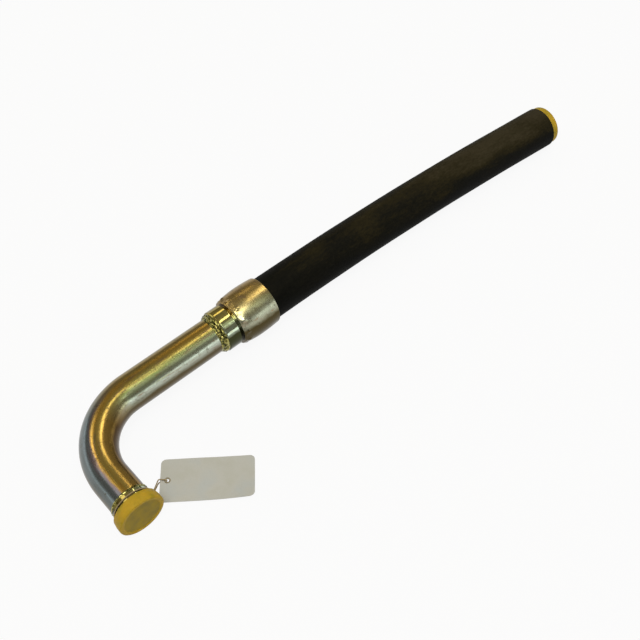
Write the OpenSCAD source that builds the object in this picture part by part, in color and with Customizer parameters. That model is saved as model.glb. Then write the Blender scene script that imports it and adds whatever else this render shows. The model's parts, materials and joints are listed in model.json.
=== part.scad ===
// Fuel hose assembly end: a bent steel elbow with a split-flange head at one end
// and a crimped fitting at the other, holding a cut length of wire-spiral hose.
//
// The pieces are drawn in the elbow's own plane. The joint of the tube and the hose
// fitting is at the origin, the hose runs along +X and the flange leg points to -Y.
// at_rest() then lays them on the floor, where the ferrule, the flange cap and the
// cut end of the hose touch it. The origin is on the floor under the middle.

/* [Elbow tube] */
// Outside diameter of the tube
tube_od = 38.1; // [36:0.1:40]
// Wall of the tube
tube_wall = 4; // [3:0.1:5]
// Radius of the bend, to the middle of the tube
bend_radius = 67.5; // [60:0.5:110]
// Straight length between the bend and the hose fitting
hose_leg = 101.7; // [70:0.1:200]
// Straight length between the bend and the flange head
flange_leg = 28.6; // [20:0.1:60]

/* [Flange head] */
// Diameter of the rim that the clamp halves hold
flange_od = 44.45; // [43:0.05:48]
// Thickness of the rim
flange_rim = 8; // [6:0.1:11]
// Length of the head, from the tube's end to the sealing face
flange_length = 17.7; // [16:0.1:30]
// Bore of the head
flange_bore = 25.4; // [20:0.1:27]
// Rounding of the rim's front edge
rim_edge = 0.4; // [0.2:0.05:1]
// Radius of the fillet behind the rim
rim_fillet = 2.4; // [0.8:0.1:2.8]
// Length of the spigot that centres the tube on the head and on the stem
spigot_length = 5; // [3:0.1:8]

/* [Face seal] */
// Outside diameter of the groove in the sealing face
groove_od = 39.7; // [39:0.1:41]
// Width of the groove
groove_width = 4; // [3.8:0.1:4.6]
// Depth of the groove
groove_depth = 2.8; // [2.4:0.1:3.2]
// Thickness of the O-ring
seal_section = 3.5; // [3.3:0.05:3.6]

/* [Flange cap] */
// Wall of the cap's skirt
cap_wall = 1.5; // [1.4:0.1:3.5]
// Thickness of the cap's face
cap_face = 2.1; // [1.4:0.1:4]
// Length of the skirt behind the sealing face
cap_skirt = 9; // [5:0.1:9.5]
// Rounding of the face's edge
cap_edge = 1.8; // [0.8:0.1:2]
// How much slimmer the skirt is at its open edge
cap_taper = 0.9; // [0.2:0.1:1.1]
// Depth of the dish in the middle of the face
cap_dish = 0.5; // [0.2:0.1:1]

/* [Hose stem] */
// Diameter of the collar
collar_od = 46.1; // [44:0.1:50]
// Length of the collar
collar_length = 15.5; // [10:0.1:24]
// Length of the sloped nose between the tube and the collar
nose_length = 6.5; // [4:0.1:9]
// Diameter of the neck that the ferrule's lip locks on
neck_od = 37.2; // [35:0.1:40]
// Diameter of the shoulder behind the neck
shoulder_od = 42.6; // [41.4:0.1:45]
// Length of the shoulder
shoulder_length = 3.5; // [2:0.1:6]
// Bore of the stem
stem_bore = 26; // [20:0.1:27]
// Length of the barbed insert inside the hose
insert_length = 34; // [24:0.1:36]
// Number of barbs
barb_count = 6; // [3:1:8]
// Height of a barb
barb_height = 0.7; // [0.4:0.05:1]
// Plain length at each end of the insert
barb_margin = 2; // [1:0.1:4]
// Chamfer of the collar's front edge
collar_chamfer = 1; // [0.4:0.1:2]
// Chamfer of the collar's back edge
collar_break = 0.6; // [0.2:0.1:1.5]

/* [Ferrule] */
// Largest diameter of the ferrule
ferrule_od = 55.7; // [54.5:0.1:60]
// Length of the ferrule
ferrule_length = 44.7; // [44:0.1:60]
// Distance from the lip's face to the largest diameter
ferrule_crown = 23.4; // [18:0.1:26]
// Diameter at the lip's face
lip_od = 50.6; // [50:0.1:52]
// Diameter at the hose end
ferrule_end_od = 53.6; // [52:0.1:54]
// Thickness of the lip along the hose
lip_length = 4; // [3:0.1:6]
// Rounding of the lip's face
lip_edge = 1; // [0.4:0.1:1.5]
// Open gap between the collar and the lip
lip_gap = 2.6; // [1.5:0.1:5]
// Number of ridges that the crimping dies leave
crimp_count = 12; // [6:1:16]
// Distance of the ridges' middle from the lip's face
crimp_x = 7.2; // [6:0.1:12]
// Length of a die ridge
crimp_length = 4.6; // [3:0.1:6]
// Radius of a die ridge
crimp_r = 1.6; // [1:0.1:2]
// Height of a die ridge above the barrel
crimp_height = 0.6; // [0.3:0.05:1]
// Number of teeth inside the ferrule
tooth_count = 5; // [3:1:6]
// Depth that a tooth bites into the hose
tooth_depth = 0.8; // [0.4:0.05:1]
// Half the width of a tooth's flat tip
tooth_tip = 0.2; // [0.1:0.05:0.5]

/* [Hose] */
// Outside diameter of the hose
hose_od = 48.4; // [48:0.1:49.6]
// Bore of the hose
hose_bore = 31.8; // [31:0.1:32.4]
// Length of hose outside the ferrule
hose_length = 421.4; // [300:0.1:900]
// Angle through which the hose curves
hose_bow = 4.8; // [2:0.1:12]
// Straight length next to the ferrule
hose_root = 8; // [2:0.1:40]
// Straight length at the cut end
hose_tail = 60; // [50:0.1:120]
// Wall of the rubber liner
liner_wall = 2.5; // [2:0.05:2.7]
// Thickness of a spiral wire ply
ply_wall = 0.8; // [0.6:0.05:0.85]
// Thickness of the rubber between two plies
insulation_wall = 0.3; // [0.2:0.05:0.35]

/* [Hose plug] */
// Diameter of the plug's head
plug_od = 45.8; // [40:0.1:47]
// Thickness of the plug's head
plug_head = 9; // [5:0.1:14]
// Length of the plug's shank
plug_shank = 22; // [12:0.1:32]
// Rounding of the head's edge
plug_edge = 2.5; // [1:0.1:4]
// Taper of the shank's tip
plug_lead = 1.5; // [0.5:0.1:3]
// Depth of the recess in the plug's head
plug_recess = 2; // [1:0.1:4]
// Diameter of the recess
plug_recess_od = 30.8; // [20:0.1:34]

/* [Tag] */
// Length of the tag
tag_length = 90; // [60:0.5:120]
// Width of the tag
tag_width = 46; // [30:0.5:60]
// Thickness of the tag's card
tag_thick = 0.6; // [0.4:0.05:1]
// Radius of the tag's corners
tag_corner = 5; // [2:0.5:10]
// Distance from the tag's short edge to the middle of the eyelet
eyelet_inset = 7; // [5:0.1:10]
// Hole through the eyelet
eyelet_bore = 3.4; // [2.6:0.1:4.4]
// Width of the eyelet's flange
eyelet_flange = 1.2; // [0.8:0.1:1.6]
// Thickness of the eyelet's metal
eyelet_metal = 0.25; // [0.2:0.01:0.35]
// Direction of the tag's long side on the floor
tag_turn = -39; // [-60:0.1:-20]
// Place of the eyelet along the hose, from the tube's joint
eyelet_x = -127; // [-130:0.5:-110]
// Place of the eyelet across the hose, from the tube's joint
eyelet_y = -90; // [-95:0.5:-80]
// Diameter of the string
tie_d = 1.3; // [0.8:0.1:1.6]
// Distance of the string from the tube's end along the head
tie_seat = 4.9; // [4.2:0.1:5.5]
// Angle of the knot below the middle of the head
knot_angle = 40; // [20:1:60]
// Diameter of the knot
knot_d = 3; // [2:0.1:3.2]

/* [Fits] */
// Radial gap of a piece that sits in another
fit_gap = 0.05; // [0.02:0.01:0.1]
// Radial gap of the cap on the rim and of the string on the head
loose_gap = 0.1; // [0.05:0.01:0.3]
// Gap between a cap or plug and the face that it seats on
seat_gap = 0.1; // [0.05:0.01:0.3]
// Size of a braze bead above the tube
bead_height = 1.15; // [0.6:0.05:1.6]
// Number of ripples round a braze bead
ripple_count = 20; // [12:1:26]

/* [Hidden] */
$fn = 96;
big_arc_fn = 1440; // for arcs that use a small share of a large circle
over = 1; // a cut runs this far past the face it opens
join = 0.01; // two shapes of one outline share this much
lap = 1; // the hose's curve runs this far into its straight ends
lap_step = 0.05; // and is this much slimmer, so that it ends inside them

// Shares of the size that each one follows
taper_share = 0.6; // of the skirt's length, over which the cap's outside tapers
barb_share = 0.8; // of the pitch, over which a barb slopes down
swell_share = 1.7; // of the bead's height: radius of the narrow bead's section
nose_share = 0.55; // of the nose's length: radius of the wide bead's section
ripple_share = 0.8; // of the section's radius: size of a ripple
ripple_change = 0.08; // by which the ripples differ
ripple_drift = 0.3; // by which they wander across the bead
ripple_turn = 3; // degrees by which they wander round it
ripple_steps = [130, 97, 71]; // unlike angles, so that no two neighbours match
ball_share = 1.05; // of the string's radius: ball at each of its turns
knot_share = 0.35; // of the knot's diameter: how far it stands off the loop

zinc = "#b3954a";
braze = "#d9c98a";
cap_yellow = "#ad8a2d";
steel = "#9a9a98";
rubber = "#1b180c";

// Radii
tube_r = tube_od / 2;
tube_bore_r = tube_r - tube_wall;
flange_r = flange_od / 2;
groove_r = groove_od / 2;
seal_r = seal_section / 2;
cap_bore_r = flange_r + loose_gap;
cap_r = cap_bore_r + cap_wall;
collar_r = collar_od / 2;
neck_r = neck_od / 2;
hose_r = hose_od / 2;
hose_bore_r = hose_bore / 2;
ferrule_r = ferrule_od / 2;
ferrule_bore_r = hose_r + fit_gap;

// Stations along the hose axis, from the tube's end
collar_end = nose_length + collar_length;
lip_face = collar_end + lip_gap;
neck_end = lip_face + lip_length + seat_gap;
shoulder_end = neck_end + shoulder_length;
hose_start = shoulder_end + seat_gap;
insert_end = shoulder_end + insert_length;
crown_x = lip_face + ferrule_crown;
ferrule_end = lip_face + ferrule_length;
barb_pitch = (insert_length - 2 * barb_margin) / barb_count;
tooth_pitch = (ferrule_end - hose_start) / (tooth_count + 1);

// Layers of the hose, from the liner outwards
liner_r = hose_bore_r + liner_wall;
layer_pitch = ply_wall + insulation_wall + 2 * fit_gap;
function ply_r(k) = liner_r + fit_gap + (k - 1) * layer_pitch;
function insulation_r(k) = ply_r(k) + ply_wall + fit_gap;
cover_bore_r = ply_r(4) + ply_wall + fit_gap;

// Course of the hose past the ferrule
arc_start = ferrule_end + hose_root;
arc_radius = (hose_length - hose_root - hose_tail) / (hose_bow * PI / 180);
tail_x = arc_start + arc_radius * sin(hose_bow);
tail_y = -arc_radius * (1 - cos(hose_bow));
hose_end = [tail_x + hose_tail * cos(hose_bow), tail_y - hose_tail * sin(hose_bow)];

// Stations along the flange axis, from the end of the bend
neck_x = -hose_leg - bend_radius;
flange_face = flange_leg + flange_length;
rim_back = flange_face - flange_rim;
seal_proud = seal_section - groove_depth;
cap_inside = flange_face + seal_proud + seat_gap;
cap_outside = cap_inside + cap_face;
cap_open = flange_face - cap_skirt;

// How the part lies: the floor's normal in the elbow's plane, from the three points
// where the ferrule, the end of the hose and the edge of the cap touch the floor
cap_touch = [neck_x, -bend_radius - (cap_outside - cap_edge)];
hose_rise = hose_r - ferrule_r;
cap_rise = cap_r - ferrule_r;
span = (hose_end.x - crown_x) * cap_touch.y - hose_end.y * (cap_touch.x - crown_x);
normal_x = (hose_rise * cap_touch.y - hose_end.y * cap_rise) / span;
normal_y = ((hose_end.x - crown_x) * cap_rise - (cap_touch.x - crown_x) * hose_rise) / span;
normal_z = sqrt(1 - normal_x * normal_x - normal_y * normal_y);
roll = atan2(normal_y, normal_z);
pitch = -asin(normal_x);
axis_height = ferrule_r - normal_x * crown_x;

// Middle of the floor space that the part takes
tag_reach = tag_length - eyelet_inset;
tag_low_y = eyelet_y + tag_reach * sin(tag_turn) - tag_width / 2 * cos(tag_turn);
head_reach = seat_gap + plug_head;
place = [
    -(neck_x - cap_r + hose_end.x + head_reach) / 2,
    -(tag_low_y + ferrule_r) / 2,
    axis_height,
];

// The tag lies on the string at the eyelet and on the floor at its far edge
tie_r = tie_d / 2;
card_lift = tie_d + eyelet_metal + seat_gap;
tag_tilt = asin(card_lift / tag_reach);
loop_r = tube_r + loose_gap + tie_r;
knot_r = loop_r + knot_share * knot_d;

// A point of the elbow's plane, where it lies at rest
function rest_point(p) =
    let (y = p.y * cos(roll) - p.z * sin(roll), z = p.y * sin(roll) + p.z * cos(roll))
    [p.x * cos(pitch) + z * sin(pitch), y, z * cos(pitch) - p.x * sin(pitch)] + place;

// A point of the tag, from the middle of the eyelet at the card's underside
function tag_point(x, z) =
    let (along = x * cos(tag_tilt) + z * sin(tag_tilt))
    [
        place.x + eyelet_x + along * cos(tag_turn),
        place.y + eyelet_y + along * sin(tag_turn),
        card_lift + z * cos(tag_tilt) - x * sin(tag_tilt),
    ];

knot = rest_point([
    neck_x + knot_r * cos(knot_angle),
    -bend_radius - flange_leg - tie_seat,
    -knot_r * sin(knot_angle),
]);

// ---- Frames ----

module at_rest() {
    translate(place) rotate([roll, pitch, 0]) children();
}

// Z becomes the hose axis, with 0 at the tube's end
module on_hose_axis() {
    at_rest() rotate([0, 90, 0]) children();
}

// Z becomes the flange axis, with 0 at the end of the bend
module on_flange_axis() {
    at_rest() translate([neck_x, -bend_radius, 0]) rotate([90, 0, 0]) children();
}

// Z becomes the hose axis at the cut end, pointing out of the hose
module on_hose_end() {
    at_rest() translate([hose_end.x, hose_end.y, 0]) rotate([0, 0, -hose_bow])
        rotate([0, 90, 0]) children();
}

module on_tag() {
    translate(tag_point(0, 0)) rotate([0, 0, tag_turn]) rotate([0, tag_tilt, 0]) children();
}

// ---- Shapes that several pieces share ----

// Solid rod that follows the middle of the elbow
module elbow_rod(r, extra) {
    translate([-hose_leg, 0, 0]) rotate([0, 90, 0]) cylinder(r = r, h = hose_leg + extra);
    translate([-hose_leg, -bend_radius, 0]) rotate([0, 0, 90])
        rotate_extrude(angle = 90) translate([bend_radius, 0]) circle(r = r);
    translate([neck_x, -bend_radius, 0]) rotate([90, 0, 0])
        cylinder(r = r, h = flange_leg + extra);
}

// Solid rod that follows the hose, from a station inside the ferrule
module hose_rod(r, start, extra) {
    lap_angle = lap / arc_radius * 180 / PI;
    translate([start - extra, 0, 0]) rotate([0, 90, 0])
        cylinder(r = r, h = arc_start - start + extra);
    translate([arc_start, -arc_radius, 0])
        rotate_extrude(start = 90 - hose_bow - lap_angle, angle = hose_bow + 2 * lap_angle)
            translate([arc_radius, 0]) circle(r = r - lap_step);
    translate([tail_x, tail_y, 0]) rotate([0, 0, -hose_bow]) rotate([0, 90, 0])
        cylinder(r = r, h = hose_tail + extra);
}

module hose_layer(outer_r, inner_r) {
    at_rest() difference() {
        hose_rod(outer_r, hose_start, 0);
        hose_rod(inner_r, hose_start, over);
    }
}

// Outline of a round cap or plug head with a rounded outer edge, between two stations
module head_outline(r, edge, low, high) {
    translate([0, low]) square([r, high - edge - low]);
    translate([0, low]) square([r - edge, high - low]);
    translate([r - edge, high - edge]) circle(r = edge);
}

// Teeth inside the ferrule and the grooves that they press into the cover
module tooth_outline(gap) {
    for (k = [1:tooth_count])
        translate([ferrule_bore_r, hose_start + k * tooth_pitch])
            polygon([
                [over, tooth_tip + tooth_depth + over + gap],
                [-tooth_depth - gap, tooth_tip + gap],
                [-tooth_depth - gap, -tooth_tip - gap],
                [over, -tooth_tip - tooth_depth - over - gap],
            ]);
}

// Braze bead round a joint: a swelling with a ripple for each touch of the rod.
// Its foot follows the given outline of the pieces that it joins.
module bead(middle, swell, offset) {
    difference() {
        union() {
            rotate_extrude() translate([tube_r, middle]) circle(r = swell);
            for (k = [1:ripple_count])
                rotate([0, 0, k * 360 / ripple_count + ripple_turn * sin(k * ripple_steps[0])])
                    translate([
                        tube_r + offset, 0,
                        middle + ripple_drift * swell * sin(k * ripple_steps[1]),
                    ])
                        sphere(r = swell * (ripple_share + ripple_change * sin(k * ripple_steps[2])));
        }
        rotate_extrude() children();
    }
}

// String between points, with a slightly thicker ball at each turn
module string(points) {
    for (k = [0:len(points) - 1]) translate(points[k]) sphere(r = ball_share * tie_r, $fn = 24);
    for (k = [0:len(points) - 2]) {
        step = points[k + 1] - points[k];
        translate(points[k]) rotate([0, acos(step.z / norm(step)), atan2(step.y, step.x)])
            cylinder(r = tie_r, h = norm(step), $fn = 24);
    }
}

module rounded_plate(length, width, corner) {
    translate([corner, 0]) square([length - 2 * corner, width]);
    translate([0, corner]) square([length, width - 2 * corner]);
    for (x = [corner, length - corner], y = [corner, width - corner])
        translate([x, y]) circle(r = corner);
}

// ---- Elbow and flange end ----

module elbow_tube() {
    color(zinc) at_rest() difference() {
        elbow_rod(tube_r, 0);
        elbow_rod(tube_bore_r, over);
    }
}

// Head with its hub, rim, bore, seal groove and the spigot that enters the tube
module flange_head() {
    fillet = [tube_r + rim_fillet, rim_back - rim_fillet];
    color(zinc) on_flange_axis() rotate_extrude() difference() {
        union() {
            translate([0, flange_leg - spigot_length])
                square([tube_bore_r - fit_gap, spigot_length + over]);
            translate([0, flange_leg]) square([tube_r, flange_length]);
            translate([0, fillet.y]) square([fillet.x, rim_fillet]);
            head_outline(flange_r, rim_edge, rim_back, flange_face);
        }
        translate(fillet) circle(r = rim_fillet);
        translate([0, flange_leg - spigot_length - over])
            square([flange_bore / 2, flange_length + spigot_length + 2 * over]);
        translate([groove_r - groove_width, flange_face - groove_depth])
            square([groove_width, groove_depth + over]);
    }
}

module flange_braze() {
    swell = swell_share * bead_height;
    color(braze) on_flange_axis() bead(flange_leg, swell, bead_height / 3)
        translate([0, flange_leg - swell - over])
            square([tube_r + fit_gap / 2, 2 * (swell + over)]);
}

module face_seal() {
    color(rubber) on_flange_axis() rotate_extrude()
        translate([groove_r - fit_gap - seal_r, flange_face - groove_depth + seal_r])
            circle(r = seal_r - fit_gap / 2);
}

module flange_cap() {
    dish_r = cap_r - 2 * cap_edge;
    taper_end = cap_open + taper_share * cap_skirt;
    color(cap_yellow) on_flange_axis() rotate_extrude() difference() {
        union() {
            head_outline(cap_r, cap_edge, flange_face, cap_outside);
            polygon([
                [0, cap_open],
                [cap_r - cap_taper, cap_open],
                [cap_r, taper_end],
                [cap_r, flange_face + join],
                [0, flange_face + join],
            ]);
        }
        translate([0, cap_open - over]) square([cap_bore_r, cap_inside - cap_open + over]);
        polygon([
            [0, cap_outside - cap_dish],
            [dish_r - cap_dish, cap_outside - cap_dish],
            [dish_r, cap_outside],
            [dish_r, cap_outside + over],
            [0, cap_outside + over],
        ]);
    }
}

// ---- Hose fitting ----

// Nose that the stem turns towards the tube, which the braze bead lies on
module nose_outline(gap) {
    polygon([
        [0, -gap],
        [tube_r + gap, -gap],
        [tube_r + gap, 0],
        [collar_r - collar_chamfer + gap, nose_length],
        [0, nose_length],
    ]);
}

module hose_stem() {
    insert_r = hose_bore_r - fit_gap;
    root_r = insert_r - barb_height;
    slope = barb_share * barb_pitch;
    color(zinc) on_hose_axis() rotate_extrude() difference() {
        union() {
            translate([0, -spigot_length]) square([tube_bore_r - fit_gap, spigot_length + over]);
            nose_outline(0);
            polygon([
                [0, nose_length],
                [collar_r - collar_chamfer, nose_length],
                [collar_r, nose_length + collar_chamfer],
                [collar_r, collar_end - collar_break],
                [collar_r - collar_break, collar_end],
                [0, collar_end],
            ]);
            translate([0, collar_end]) square([neck_r, neck_end - collar_end]);
            translate([0, neck_end]) square([shoulder_od / 2, shoulder_length]);
            translate([0, shoulder_end]) square([root_r, insert_length]);
            for (k = [0:barb_count - 1])
                translate([root_r, shoulder_end + barb_margin + k * barb_pitch])
                    polygon([[-over, 0], [barb_height, 0], [0, slope], [-over, slope]]);
        }
        translate([0, -spigot_length - over])
            square([stem_bore / 2, insert_end + spigot_length + 2 * over]);
    }
}

module stem_braze() {
    foot = fit_gap / 2;
    color(braze) on_hose_axis() bead(nose_length / 3, nose_share * nose_length, 0) {
        translate([0, -nose_length]) square([tube_r + foot, nose_length]);
        nose_outline(foot);
        translate([0, nose_length - foot]) square([collar_r + over, nose_length]);
    }
}

// Radius of the arc that runs from the crown down by drop over a length
function barrel_arc(length, drop) = (length * length + drop * drop) / (2 * drop);

// Crimped shell: a barrel of two arcs, with the lip that locks behind the collar,
// teeth that bite the hose and the ridges that the gaps between the dies leave
module ferrule() {
    front_arc = barrel_arc(ferrule_crown, ferrule_r - lip_od / 2);
    back_arc = barrel_arc(ferrule_length - ferrule_crown, ferrule_r - ferrule_end_od / 2);
    ridge_x = lip_face + crimp_x;
    lip_back = 2 * lip_edge;
    ridge_r = ferrule_r - front_arc + sqrt(pow(front_arc, 2) - pow(crown_x - ridge_x, 2));
    ridge_slope = asin((crown_x - ridge_x) / front_arc);
    color(zinc) on_hose_axis() difference() {
        union() {
            rotate_extrude() difference() {
                union() {
                    intersection() {
                        translate([0, lip_face]) square([ferrule_r, ferrule_crown]);
                        translate([ferrule_r - front_arc, crown_x])
                            circle(r = front_arc, $fn = big_arc_fn);
                    }
                    intersection() {
                        translate([0, crown_x]) square([ferrule_r, ferrule_length - ferrule_crown]);
                        translate([ferrule_r - back_arc, crown_x])
                            circle(r = back_arc, $fn = big_arc_fn);
                    }
                }
                translate([lip_od / 2, lip_face]) polygon([
                    [-lip_edge, -over],
                    [over, -over],
                    [over, lip_back + over / 2],
                    [-lip_edge / 10, lip_back],
                    [-lip_edge, 0],
                ]);
            }
            for (k = [1:crimp_count])
                rotate([0, 0, (k - 0.5) * 360 / crimp_count])
                    translate([ridge_r - crimp_r + crimp_height, 0, ridge_x])
                        rotate([0, ridge_slope, 0]) crimp_ridge();
        }
        rotate_extrude() difference() {
            union() {
                translate([0, lip_face - over]) square([neck_r + 2 * fit_gap, 2 * over + lip_length]);
                translate([0, lip_face + lip_length])
                    square([ferrule_bore_r, ferrule_length - lip_length + over]);
            }
            tooth_outline(0);
        }
    }
}

module crimp_ridge() {
    translate([0, 0, -crimp_length / 2]) cylinder(r = crimp_r, h = crimp_length, $fn = 32);
    for (end = [-0.5, 0.5])
        translate([0, 0, end * crimp_length]) sphere(r = crimp_r, $fn = 32);
}

// ---- Hose ----

module hose_liner() {
    color("#2a2a28") hose_layer(liner_r, hose_bore_r);
}

module spiral_ply(k) {
    color(steel) hose_layer(ply_r(k) + ply_wall, ply_r(k));
}

module insulation(k) {
    color("#33302a") hose_layer(insulation_r(k) + insulation_wall, insulation_r(k));
}

module hose_cover() {
    color(rubber) difference() {
        hose_layer(hose_r, cover_bore_r);
        on_hose_axis() rotate_extrude() tooth_outline(fit_gap);
    }
}

module hose_plug() {
    shank_r = hose_bore_r - fit_gap;
    color(cap_yellow) on_hose_end() rotate_extrude() difference() {
        union() {
            head_outline(plug_od / 2, plug_edge, seat_gap, seat_gap + plug_head);
            polygon([
                [0, -plug_shank],
                [shank_r - plug_lead, -plug_shank],
                [shank_r, -plug_shank + 2 * plug_lead],
                [shank_r, seat_gap + join],
                [0, seat_gap + join],
            ]);
        }
        translate([0, seat_gap + plug_head - plug_recess])
            square([plug_recess_od / 2, plug_recess + over]);
    }
}

// ---- Tag ----

module tag_card() {
    color("#b3b2a8") on_tag() difference() {
        translate([-eyelet_inset, -tag_width / 2, 0]) linear_extrude(tag_thick)
            rounded_plate(tag_length, tag_width, tag_corner);
        translate([0, 0, -over])
            cylinder(r = eyelet_bore / 2 + eyelet_metal + fit_gap, h = tag_thick + 2 * over);
    }
}

module tag_eyelet() {
    wall_r = eyelet_bore / 2 + eyelet_metal;
    flange = wall_r + eyelet_flange;
    color("#9a6a36") on_tag() difference() {
        union() {
            translate([0, 0, -eyelet_metal]) cylinder(r = wall_r, h = tag_thick + 2 * eyelet_metal);
            translate([0, 0, -eyelet_metal]) cylinder(r = flange, h = eyelet_metal);
            translate([0, 0, tag_thick]) cylinder(r = flange, h = eyelet_metal);
        }
        translate([0, 0, -over]) cylinder(r = eyelet_bore / 2, h = tag_thick + 2 * over);
    }
}

// Loop round the head, a knot, and the two strands that run through the eyelet
module tag_tie() {
    above = tag_thick + eyelet_metal + seat_gap + tie_r;
    below = -eyelet_metal - seat_gap / 2 - tie_r;
    past_edge = -eyelet_inset - tie_d;
    strand = [0, 0, tie_r + fit_gap];
    color("#b79f78") union() {
        on_flange_axis() translate([0, 0, flange_leg + tie_seat]) rotate_extrude()
            translate([loop_r, 0]) circle(r = tie_r);
        translate(knot) sphere(d = knot_d, $fn = 32);
        string([
            knot + strand,
            tag_point(past_edge, above),
            tag_point(0, above),
            tag_point(0, below),
            tag_point(past_edge, below),
            knot - strand,
        ]);
    }
}

elbow_tube();
flange_head();
flange_braze();
face_seal();
flange_cap();
hose_stem();
stem_braze();
ferrule();
hose_liner();
for (k = [1:4])
    spiral_ply(k);
for (k = [1:3])
    insulation(k);
hose_cover();
hose_plug();
tag_card();
tag_eyelet();
tag_tie();
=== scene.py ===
import json

import bmesh
import bpy
import numpy as np
from mathutils import Matrix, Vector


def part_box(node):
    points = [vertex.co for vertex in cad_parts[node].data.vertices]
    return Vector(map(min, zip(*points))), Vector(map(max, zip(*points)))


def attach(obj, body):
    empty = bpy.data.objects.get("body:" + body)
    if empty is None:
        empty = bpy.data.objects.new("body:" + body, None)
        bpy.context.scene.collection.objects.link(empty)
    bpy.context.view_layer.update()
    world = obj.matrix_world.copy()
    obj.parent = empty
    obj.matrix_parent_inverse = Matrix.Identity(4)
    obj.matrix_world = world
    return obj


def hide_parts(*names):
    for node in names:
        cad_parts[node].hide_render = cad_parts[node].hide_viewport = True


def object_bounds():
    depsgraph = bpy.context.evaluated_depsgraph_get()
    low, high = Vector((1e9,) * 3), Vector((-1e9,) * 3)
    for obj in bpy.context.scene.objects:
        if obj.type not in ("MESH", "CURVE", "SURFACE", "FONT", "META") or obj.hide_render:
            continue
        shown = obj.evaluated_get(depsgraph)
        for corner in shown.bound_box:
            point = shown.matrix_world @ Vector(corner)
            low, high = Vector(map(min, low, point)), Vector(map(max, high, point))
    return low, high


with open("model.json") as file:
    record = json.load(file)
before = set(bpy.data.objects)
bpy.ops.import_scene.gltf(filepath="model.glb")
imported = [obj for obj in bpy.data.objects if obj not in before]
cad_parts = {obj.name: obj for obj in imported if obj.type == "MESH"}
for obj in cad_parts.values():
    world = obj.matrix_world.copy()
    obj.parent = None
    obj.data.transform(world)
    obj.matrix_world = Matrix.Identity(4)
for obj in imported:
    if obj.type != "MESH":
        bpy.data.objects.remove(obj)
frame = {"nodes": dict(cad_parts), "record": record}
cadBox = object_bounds()
mounts = {mount["name"]: mount for mount in frame["record"]["mounts"]}
mm = 0.001


def unit(vector):
    vector = np.asarray(vector, float)
    return vector / np.linalg.norm(vector)


# The elbow's plane: x along the hose from the tube's joint, y away from the flange, z up
hoseAxis = unit(mounts["tube_leg"]["axis"])
flangeAxis = unit(mounts["flange_port"]["axis"])
planeUp = unit(np.cross(flangeAxis, hoseAxis))
legLength = mounts["tube_leg"]["dims"]["length_mm"]
tubeJoint = np.array(mounts["tube_leg"]["pos_m"]) + hoseAxis * legLength / 2 * mm


def inPlane(x, y, z=0.0):
    # a point of the elbow's plane, in metres in the part's frame
    x, y, z = (np.asarray(v, float)[..., None] for v in (x, y, z))
    return tubeJoint + mm * (x * hoseAxis - y * flangeAxis + z * planeUp)


def fromPlane(point):
    # millimetres in the elbow's plane of a point in the part's frame
    offset = (np.asarray(point, float) - tubeJoint) / mm
    return np.array([offset @ hoseAxis, -offset @ flangeAxis, offset @ planeUp])


flangeFace = fromPlane(mounts["flange_port"]["pos_m"])
hoseTailMiddle = fromPlane(mounts["hose_end"]["pos_m"])
tailAxis = unit(mounts["hose_end"]["axis"])
tailLength = mounts["hose_end"]["dims"]["length_mm"]
tubeR = mounts["tube_leg"]["dims"]["r_mm"]
rimR = mounts["flange_port"]["dims"]["r_mm"]
hoseR = mounts["hose_end"]["dims"]["r_mm"]
bendEnd = np.array([flangeFace[0], flangeFace[0] + legLength])  # the bend is as wide as it is deep
bendRadius = -bendEnd[1]
faceStation = bendEnd[1] - flangeFace[1]  # from the end of the bend to the flange's face

# The camera looks at a point of the elbow's plane, from a direction that is given round and above it
cameraSet = dict(
    distance=982.9, elevation=53.17, azimuth=-41.5, roll=-0.445, target=(95.76, -59.19), lens=53.4, sensor=36,
)


def makeCamera(c):
    lift, turn, roll = np.radians([c["elevation"], c["azimuth"], c["roll"]])
    forward = np.array([-np.sin(turn) * np.cos(lift), np.cos(turn) * np.cos(lift), -np.sin(lift)])
    right = np.array([np.cos(turn), np.sin(turn), 0.0])
    over = np.cross(right, forward)
    right, over = np.cos(roll) * right + np.sin(roll) * over, np.cos(roll) * over - np.sin(roll) * right
    spot = np.array([*c["target"], 0.0]) - forward * c["distance"]
    axes = np.stack([hoseAxis, -flangeAxis, planeUp], axis=1)
    camera = bpy.data.objects.new("camera", bpy.data.cameras.new("camera"))
    bpy.context.scene.collection.objects.link(camera)
    matrix = np.eye(4)
    matrix[:3, :3] = axes @ np.stack([right, over, -forward], axis=1)
    matrix[:3, 3] = inPlane(*spot)
    camera.matrix_world = Matrix(matrix.tolist())
    camera.data.lens = c["lens"]
    camera.data.sensor_width = c["sensor"]
    camera.data.clip_start, camera.data.clip_end = 0.02, 40
    bpy.context.scene.camera = camera


makeCamera(cameraSet)
print("camera placed")


def rounded(corners, steps=5):
    # corners are (station, radius, fillet): each fillet becomes an arc of the circle that touches both sides
    points = []
    for k, (s, r, fillet) in enumerate(corners):
        here = np.array([s, r], float)
        if fillet == 0:
            points.append(here[None])
            continue
        before = unit(np.array(corners[k - 1][:2]) - here)
        after = unit(np.array(corners[(k + 1) % len(corners)][:2]) - here)
        half = np.arccos(np.clip(before @ after, -1, 1)) / 2
        centre = here + unit(before + after) * fillet / np.sin(half)
        first = here + before * fillet / np.tan(half) - centre
        last = here + after * fillet / np.tan(half) - centre
        turn = np.arctan2(first[0] * last[1] - first[1] * last[0], first @ last)
        a = np.linspace(0, turn, steps + 1)[:, None]
        points.append(centre + first * np.cos(a) + np.array([-first[1], first[0]]) * np.sin(a))
    return np.concatenate(points)


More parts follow.
